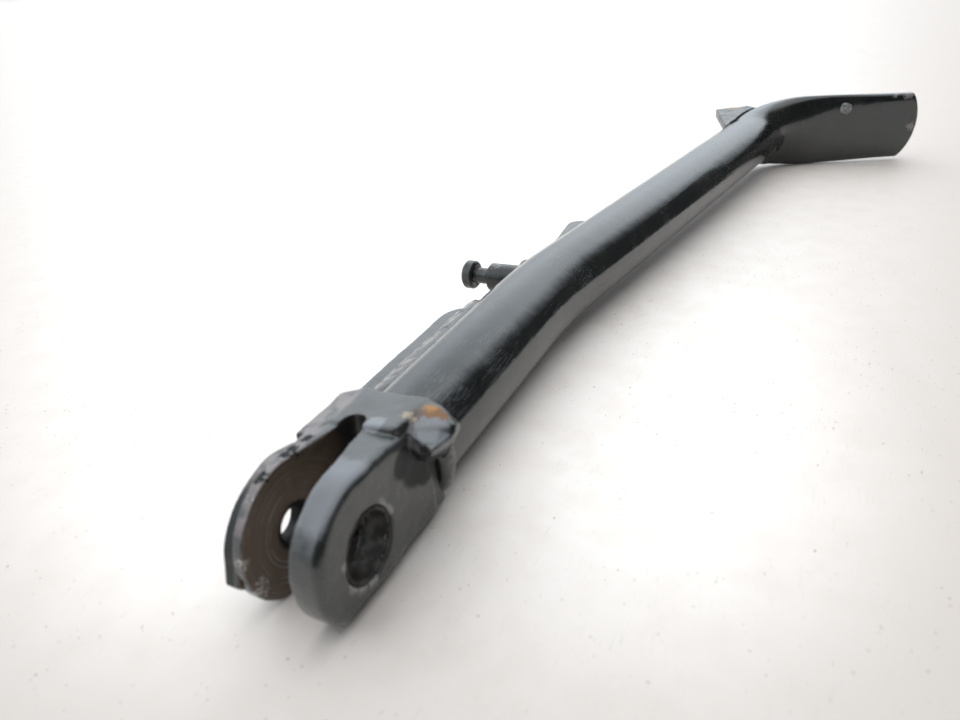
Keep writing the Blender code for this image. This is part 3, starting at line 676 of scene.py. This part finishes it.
def skin_point(along, angle, shrink=0.0):
    """Point of the leg's outside, by running length and angle round the section."""
    flat = smooth((along - ENDS[2] + 6.0) / (ENDS[3] - ENDS[2] + 10.0))
    taper = smooth((along - ENDS[3]) / FOOT_LENGTH)
    wide = FOOT_HALF_WIDE + (FOOT_TIP_HALF_WIDE - FOOT_HALF_WIDE) * taper
    thick = TUBE_R + (FOOT_HALF_THICK - TUBE_R) * flat
    across = TUBE_R + (wide - TUBE_R) * flat
    square = 2.0 + 3.0 * flat
    outward, upward = cos(angle), sin(angle)
    up = (across - shrink) * abs(upward) ** (2 / square) * (1 if upward >= 0 else -1)
    if outward >= 0 or flat == 0.0:
        side = (thick - shrink) * abs(outward) ** (2 / square) * (1 if outward >= 0 else -1)
    else:
        side = -max(near_depth(along, up, across) - shrink, 0.0)
    share = min(max((along - TIP + TIP_ROUND_LENGTH) / TIP_ROUND_LENGTH, 0.0), 1.0)
    off = min(abs(up - TIP_ARC_SHIFT), TIP_ARC_RADIUS * 0.95)
    drop = TIP_ARC_RADIUS - sqrt(TIP_ARC_RADIUS**2 - off**2)
    centre, heading = path_at(along - drop * share)
    return centre + Vector((side * sin(heading), side * cos(heading), up))


def ring(along, shrink=0.0):
    """Ring of points round the leg."""
    return [skin_point(along, 2 * pi * i / RING, shrink) for i in range(RING)]


def stations():
    """Running lengths of the rings, close together where the tube is pressed flat."""
    marks = []
    for low, high, step in (
        (0.0, FOOT_START - 12.0, ROUND_STEP),
        (FOOT_START - 12.0, ENDS[3] + 20.0, PRESSED_STEP),
        (ENDS[3] + 20.0, TIP - TIP_EDGE_R, FLAT_STEP),
    ):
        count = round((high - low) / step)
        marks += [low + (high - low) * i / count for i in range(count)]
    return marks + [TIP - TIP_EDGE_R]


def new_object(name, points, faces, finish):
    """Smooth-shaded mesh object from points in millimetres from the swing axis."""
    mesh = bpy.data.meshes.new(name)
    mesh.from_pydata([at(*p) for p in points], [], faces)
    work = bmesh.new()
    work.from_mesh(mesh)
    bmesh.ops.recalc_face_normals(work, faces=work.faces)
    work.to_mesh(mesh)
    work.free()
    obj = bpy.data.objects.new(name, mesh)
    bpy.context.scene.collection.objects.link(obj)
    mesh.materials.append(finish)
    mesh.shade_smooth()
    return obj


def make_leg(finish):
    """Tube and pressed foot, with a rounded edge round the tip and an open mouth at the clevis."""
    rings = [ring(MOUTH_DEPTH, TUBE_WALL), ring(0.0, TUBE_WALL)]
    rings += [ring(mark) for mark in stations()]
    for turn in (0.4, 0.8, 1.2, pi / 2):
        rings.append(ring(TIP - TIP_EDGE_R * (1 - sin(turn)), TIP_EDGE_R * (1 - cos(turn))))
    faces = [tuple(range(RING))]
    for band in range(len(rings) - 1):
        low = band * RING
        high = low + RING
        for i in range(RING):
            j = (i + 1) % RING
            faces.append((low + i, low + j, high + j, high + i))
    top = (len(rings) - 1) * RING
    quarter = RING // 4
    for step in range(RING // 2):
        corners = (quarter + step, quarter + step + 1, quarter - step - 1, quarter - step)
        faces.append(tuple(dict.fromkeys(top + corner % RING for corner in corners)))
    return new_object("leg_pressed_tube", [p for r in rings for p in r], faces, finish)


def settle(obj):
    """Replace an object's mesh with the result of its modifiers."""
    mesh = bpy.data.meshes.new_from_object(obj.evaluated_get(bpy.context.evaluated_depsgraph_get()))
    obj.modifiers.clear()
    obj.data = mesh
    mesh.name = obj.name


def tuck_cam(place):
    """Cam: let into the far ear with their tops level, its underside lower than in the part."""
    top = CAM_TOP_FALL[0] + (CAM_TOP_FALL[1] - CAM_TOP_FALL[0]) * smooth((6.0 - place.x) / 12.0)
    under = CAM_UNDER_FALL * smooth((place.x + 13.0) / 5.0)
    fall = top * smooth(place.z / 10.0) + under * smooth(-place.z / 12.0)
    return place - Vector((0.0, CAM_TUCK if place.y < CAM_MIDDLE_Y else 0.0, fall))


def thicken_head(place):
    """Spring post: a thicker head than in the part."""
    on_inner_face = HEAD_INNER_Y - 0.6 < place.y < HEAD_INNER_Y + 1.0
    return place - Vector((0.0, HEAD_EXTRA if on_inner_face else 0.0, 0.0))


def spread_fin(place):
    """Low fin: its root sunk into the tube, its edge a little further out and up than in the part."""
    out = Vector((sin(BEND_ANGLE), cos(BEND_ANGLE), 0.0))
    above = (place - Vector((BEND_X, TUBE_Y, 0.0))).dot(out) - TUBE_R
    return place + out * (FIN_STRETCH * above - FIN_SINK) + Vector((0.0, 0.0, FIN_LIFT))


def weathered(node, name, finish, cell, rounds, relief, rule=None, extra=()):
    """Copy of a part's shape with softened edges and an uneven surface.

    cell is the size of the new mesh's faces and relief is pairs of feature size and height, all in
    millimetres; rounds is how many times the surface is smoothed. rule moves a place in millimetres to
    another, and extra holds the corners of a solid that is fused on.
    """
    mesh = frame["nodes"][node].data.copy()
    work = bmesh.new()
    work.from_mesh(mesh)
    bmesh.ops.remove_doubles(work, verts=work.verts, dist=0.002 * MM)
    if rule:
        for vertex in work.verts:
            vertex.co = at(*rule((vertex.co - PIVOT) / MM))
    if extra:
        corners = [work.verts.new(at(*p)) for p in extra]
        bmesh.ops.convex_hull(work, input=corners)
    work.to_mesh(mesh)
    work.free()
    obj = bpy.data.objects.new(name, mesh)
    bpy.context.scene.collection.objects.link(obj)
    remesh = obj.modifiers.new("remesh", "REMESH")
    remesh.mode = "VOXEL"
    remesh.voxel_size = cell * MM
    soften = obj.modifiers.new("soften", "SMOOTH")
    soften.factor = 0.5
    soften.iterations = rounds
    settle(obj)
    normals = [vertex.normal.copy() for vertex in obj.data.vertices]
    for vertex, normal in zip(obj.data.vertices, normals):
        place = (vertex.co - PIVOT) / MM
        push = sum(height * noise.noise(place / size) for size, height in relief)
        vertex.co += normal * push * MM
    obj.data.materials.clear()
    obj.data.materials.append(finish)
    obj.data.shade_smooth()
    return obj


def bead(name, spine, size, lump, finish, across=None, closed=False):
    """Weld bead along a line of points, its section an oval that swells and shrinks unevenly.

    size is half the oval's width and half its thickness, and across is the direction of its width.
    """
    wide, thick = size
    turns = [2 * pi * k / BEAD_SIDES for k in range(BEAD_SIDES)]
    rings = []
    last = len(spine) - 1
    for i, point in enumerate(spine):
        before = spine[i - 1] if closed or i else point
        after = spine[(i + 1) % len(spine)] if closed or i < last else point
        ahead = (after - before).normalized()
        side = (across or ahead.cross(Vector((0.31, 0.17, 0.94)))).normalized()
        lift = side.cross(ahead)
        taper = 1.0 if closed else sqrt(max(1 - abs(2 * i / last - 1) ** 14, 0.04))
        outline = []
        for a in turns:
            away = side * wide * cos(a) + lift * thick * sin(a)
            place = point + away
            outline.append(point + away * taper + away.normalized() * lump * noise.noise(place / 2.6))
        rings.append(outline)
    return skin(name, rings, finish, closed)


def skin(name, rings, finish, closed):
    """Mesh over rings of equal length: a closed loop, or a bar with flat ends."""
    count = len(rings[0])
    faces = []
    for band in range(len(rings) if closed else len(rings) - 1):
        low = band * count
        high = (band + 1) % len(rings) * count
        for i in range(count):
            j = (i + 1) % count
            faces.append((low + i, low + j, high + j, high + i))
    if not closed:
        faces += [tuple(range(count)), tuple(range((len(rings) - 1) * count, len(rings) * count))]
    return new_object(name, [p for r in rings for p in r], faces, finish)


def straight(first, last, step=0.45, sway=0.25):
    """Points from one place to another with a slight sway across."""
    first, last = Vector(first), Vector(last)
    count = round((last - first).length / step)
    points = [first.lerp(last, i / count) for i in range(count + 1)]
    return [p + noise.noise_vector(p / 5.0) * sway for p in points]


def make_stiffener_bead(name, side):
    """Fillet between the stiffener's upper or lower face and the tube; side is 1 above and -1 below."""
    level = STIFF_MIDDLE_Z + side * STIFF_HALF_THICK
    out = TUBE_R + 0.2
    low = Vector((0.0, TUBE_Y + TUBE_R + STIFF_BEAD_OUT, level))
    high = Vector((0.0, TUBE_Y + out * cos(STIFF_BEAD_RISE), TUBE_Z + side * out * sin(STIFF_BEAD_RISE)))
    middle = (low + high) / 2 - Vector((0.0, STIFF_BEAD_SINK[0], STIFF_BEAD_SINK[1] * side))
    spine = straight(*(middle + Vector((x, 0.0, 0.0)) for x in STIFF_BEAD_X))
    size = ((high - low).length / 2, STIFF_BEAD_THICK)
    return bead(name, spine, size, STIFF_BEAD_LUMP, WELD, high - low)


def make_guard_bead():
    """Fillet along the upper side of the low fin."""
    ends = []
    for x in GUARD_BEAD_X:
        centre = TUBE_Y - (x - BEND_X) * tan(BEND_ANGLE)
        ends.append((x, centre + sqrt(TUBE_R**2 - 4.0**2) + 0.5, GUARD_BEAD_Z))
    return bead("guard_bead", straight(*ends), GUARD_BEAD_SIZE, GUARD_BEAD_LUMP, WELD)


def make_clevis_bead():
    """Fillet round the tube where it butts on the clevis."""
    turns = [2 * pi * i / 160 for i in range(160)]
    radius = CLEVIS_BEAD_R
    spine = [Vector((TUBE_START_X, TUBE_Y + radius * cos(a), TUBE_Z + radius * sin(a))) for a in turns]
    along = Vector((1.0, 0.0, 0.0))
    return bead("clevis_bead", spine, CLEVIS_BEAD_SIZE, CLEVIS_BEAD_LUMP, WELD, along, closed=True)


def make_tab_bead():
    """Fillet where the tab's upper face meets the tube."""
    first, second, third = (Vector(p) for p in TAB_TOP)
    normal = (second - first).cross(third - first)
    spine = []
    for i in range(41):
        along = FOOT_START - 5.0 + TAB_BEAD_LENGTH * i / 40
        low, high = 0.0, pi / 2
        for _ in range(16):
            middle = (low + high) / 2
            spot = skin_point(along, middle)
            level = first.z - (normal.x * (spot.x - first.x) + normal.y * (spot.y - first.y)) / normal.z
            if spot.z < level:
                low = middle
            else:
                high = middle
        spine.append(skin_point(along, low, -0.3) + Vector((0, 0, 0.3)))
    return bead("tab_bead", spine, TAB_BEAD_SIZE, TAB_BEAD_LUMP, TAB)


def make_thread():
    """Worn thread inside the far ear's hole."""
    turns = [2 * pi * i / 96 for i in range(96)]
    profile = [(THREAD_OUT_R, THREAD_END_Y), (THREAD_OUT_R, THREAD_START_Y)]
    count = round((THREAD_END_Y - THREAD_START_Y) / THREAD_PITCH)
    for i in range(count):
        y = THREAD_START_Y + THREAD_PITCH * i
        profile += [(THREAD_ROOT_R, y + 0.1), (THREAD_CREST_R, y + THREAD_PITCH / 2)]
    profile.append((THREAD_ROOT_R, THREAD_END_Y))
    rings = [[Vector((r * cos(a), y, r * sin(a))) for a in turns] for r, y in profile]
    return skin("far_hole_thread", rings, thread_finish(), closed=True)


# ---------------------------------------------------------------- stage


def floor_finish():
    """Pale floor with fine specks and lines; painted shade dims it towards the sides and front of the view,
    and a painted shadow darkens it under the clevis.
    """
    coat = Finish("pale_floor", FLOOR_COLOUR, 0.6, shine=0.2)
    coat.coords = coat.node("ShaderNodeNewGeometry").outputs["Position"]
    coat.layer(coat.speckle(9.0, 0.35, 0.7, 6.0), colour=(0.77, 0.70, 0.65), strength=0.7)

    # Painted shade: the floor as the camera sees it, darkened towards the sides and front of the view
    away = coat.vector("SUBTRACT", coat.coords, at(*CAMERA_PLACE)).outputs[0]
    right, up, depth = (
        coat.vector("DOT_PRODUCT", away, direction).outputs["Value"]
        for direction in (CAMERA_RIGHT, CAMERA_UP, CAMERA_UP.cross(CAMERA_RIGHT))
    )
    sideways = coat.calc("ABSOLUTE", coat.calc("ADD", coat.calc("DIVIDE", right, depth), 0.05))
    upwards = coat.calc("DIVIDE", up, depth)
    seen = coat.both(coat.node("ShaderNodeLightPath").outputs["Is Camera Ray"], coat.fade(depth, 0.0, 0.12))
    coat.layer(coat.both(seen, coat.fade(sideways, 0.28, 0.76)), colour=(0.52, 0.46, 0.42))
    coat.layer(coat.both(seen, coat.fade(upwards, -0.12, -0.54)), colour=(0.47, 0.42, 0.385), strength=0.8)

    # Painted shadow: dark patch on the floor under the clevis, seen through the bore
    coat.layer(coat.spot((8.0, 2.5, -18.5), 9.5, 0.1), colour=(0.045, 0.036, 0.03))
    coat.layer(coat.speckle(1.0, 0.71, 0.75, 2.0), colour=(0.18, 0.16, 0.145), strength=0.75)
    for turn in (0.5, 1.4, 2.4):
        line = coat.fade(coat.grain(0.25, 1.0, 0.5, (22.0, 1.0, 1.0), (0.0, 0.0, turn)), 0.68, 0.74)
        patch = coat.speckle(16.0 + 3.0 * turn, 0.48, 0.62, 2.0)
        coat.layer(coat.both(line, patch), colour=(0.4, 0.37, 0.34), strength=0.3)
    coat.raise_by(coat.grain(3.0), 0.02)
    return coat.done()


def stage_object(name, points, faces, material):
    """Flat-sided object from points in metres."""
    mesh = bpy.data.meshes.new(name)
    mesh.from_pydata(points, [], faces)
    mesh.materials.append(material)
    obj = bpy.data.objects.new(name, mesh)
    bpy.context.scene.collection.objects.link(obj)
    return obj


def make_dark_side():
    """Dark low screen beside the leg, seen only in reflections, that ends the bright floor."""
    line = [at(x, y, 0.0) for x, y in SCREEN_LINE]
    points = [(p.x, p.y, z) for z in (0.0, PIVOT.z + SCREEN_TOP * MM) for p in line]
    count = len(line)
    faces = [(i, i + 1, count + i + 1, count + i) for i in range(count - 1)]
    dark = Finish("dark_screen", (0.012, 0.013, 0.013), 0.9).done()
    screen = stage_object("dark_side", points, faces, dark)
    for kind in ("camera", "diffuse", "transmission", "volume_scatter", "shadow"):
        setattr(screen, "visible_" + kind, False)
    return screen


def make_floor():
    """Wide floor that touches the underside of the clevis and of the foot."""
    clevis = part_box("clevis_fork")[0]
    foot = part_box("leg_tube")[0]
    front = clevis.x + CLEVIS_REST * MM
    back = PIVOT.x + FOOT_BEND_X * MM
    slope = (foot.z - clevis.z) / (back - front)
    points = []
    for x, y in ((-1, -1), (1, -1), (1, 1), (-1, 1)):
        level = clevis.z + slope * (x * FLOOR_REACH - front) - FLOOR_GAP * MM
        points.append((x * FLOOR_REACH, y * FLOOR_REACH, level))
    return stage_object("floor", points, [(0, 1, 2, 3)], floor_finish())


def make_room():
    """Light of a wide window on one side, fading to a dark room on the other, under a pale ceiling."""
    world = bpy.data.worlds.new("room")
    bpy.context.scene.world = world
    world.use_nodes = True
    tree = world.node_tree
    tree.nodes.clear()
    way = add_node(tree, "ShaderNodeTexCoord").outputs["Generated"]
    window_way = (-sin(WINDOW_EDGE), cos(WINDOW_EDGE), 0.0)
    side = add_node(tree, "ShaderNodeVectorMath", {0: way, 1: window_way}, operation="DOT_PRODUCT")
    in_window = eased(tree, side.outputs["Value"], -WINDOW_BLUR, WINDOW_BLUR)
    height = add_node(tree, "ShaderNodeSeparateXYZ", {0: way}).outputs["Z"]
    walls = mixed(tree, in_window, ROOM_COLOUR, WINDOW_COLOUR)
    colour = mixed(tree, eased(tree, height, 0.70, 0.90), walls, CEILING_COLOUR)
    strength = eased(tree, height, 0.0, 0.55, 0.40, 0.92)
    light = add_node(tree, "ShaderNodeBackground", {"Color": colour, "Strength": strength}).outputs[0]
    backdrop = add_node(tree, "ShaderNodeBackground", {"Color": BACKDROP_COLOUR}).outputs[0]
    seen = add_node(tree, "ShaderNodeLightPath").outputs["Is Camera Ray"]
    shown = add_node(tree, "ShaderNodeMixShader", {0: seen, 1: light, 2: backdrop}).outputs[0]
    add_node(tree, "ShaderNodeOutputWorld", {"Surface": shown})


def make_camera():
    """Camera past the pivot end, looking along the leg."""
    data = bpy.data.cameras.new("camera")
    data.lens = LENS
    data.clip_start = 0.005
    data.dof.use_dof = True
    data.dof.focus_distance = FOCUS * MM
    data.dof.aperture_fstop = F_STOP
    camera = bpy.data.objects.new("camera", data)
    bpy.context.scene.collection.objects.link(camera)
    back = CAMERA_RIGHT.cross(CAMERA_UP)
    turned = Matrix((CAMERA_RIGHT, CAMERA_UP, back)).transposed().to_4x4()
    camera.matrix_world = Matrix.Translation(at(*CAMERA_PLACE)) @ turned
    bpy.context.scene.camera = camera


# ---------------------------------------------------------------- assembly

FORGED = forging_finish()
WELD = weld_finish()
TAB = tang_finish()
PLATE = plate_finish()

# Part's piece, new piece, finish, size of its faces, rounds of smoothing, relief, material slot
COPIES = (
    ("clevis_fork", "clevis_forging", FORGED, 0.26, 4, ((9.0, 0.30), (3.0, 0.10)), "painted_forging"),
    ("cam_plate", "cam_stamping", FORGED, 0.2, 1, ((6.0, 0.12),), "painted_forging"),
    ("stiffener_plate", "stiffener_bar", PLATE, 0.28, 5, ((8.0, 0.2), (2.5, 0.08)), "painted_forging"),
    ("spring_guard_lug", "spring_guard_fin", PLATE, 0.22, 4, ((5.0, 0.15),), "painted_forging"),
    ("kick_tang", "kick_tab", TAB, 0.25, 4, ((5.0, 0.25), (2.0, 0.1)), "painted_forging"),
    ("spring_post", "spring_post_turned", post_finish(), 0.16, 3, ((3.0, 0.04),), "bare_steel"),
    ("pivot_bush", "pivot_bush_ring", steel_finish(), 0.16, 3, ((3.0, 0.04),), "bare_steel"),
    ("post_weld", "post_bead", WELD, 0.15, 2, ((1.5, 0.06),), "painted_weld"),
    ("foot_plug_weld", "foot_plug_spot", plug_finish(), 0.15, 3, ((1.6, 0.3),), "bare_steel"),
)
RULES = {"cam_plate": tuck_cam, "spring_guard_lug": spread_fin, "spring_post": thicken_head}
EXTRAS = {"clevis_fork": NOSE}


def attach(piece, body, node=None):
    """Put a piece on a body, in place of one of the part's pieces if given."""
    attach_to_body(piece, body)
    if node:
        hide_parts(node)


attach(make_leg(leg_finish()), "leg", "leg_tube")
for node, name, finish, cell, rounds, relief, slot in COPIES:
    copied = weathered(node, name, finish, cell, rounds, relief, RULES.get(node), EXTRAS.get(node, ()))
    attach(copied, "pivot" if node == "pivot_bush" else "leg", node)
attach(make_stiffener_bead("stiffener_bead_upper", 1), "leg", "stiffener_weld_upper")
attach(make_stiffener_bead("stiffener_bead_lower", -1), "leg", "stiffener_weld_lower")
attach(make_guard_bead(), "leg", "lug_weld")
attach(make_clevis_bead(), "leg", "clevis_weld")
attach(make_tab_bead(), "leg", "tang_weld")
attach(make_thread(), "leg")

make_floor()
make_dark_side()
make_room()
make_camera()
bpy.context.scene.view_settings.view_transform = "Standard"
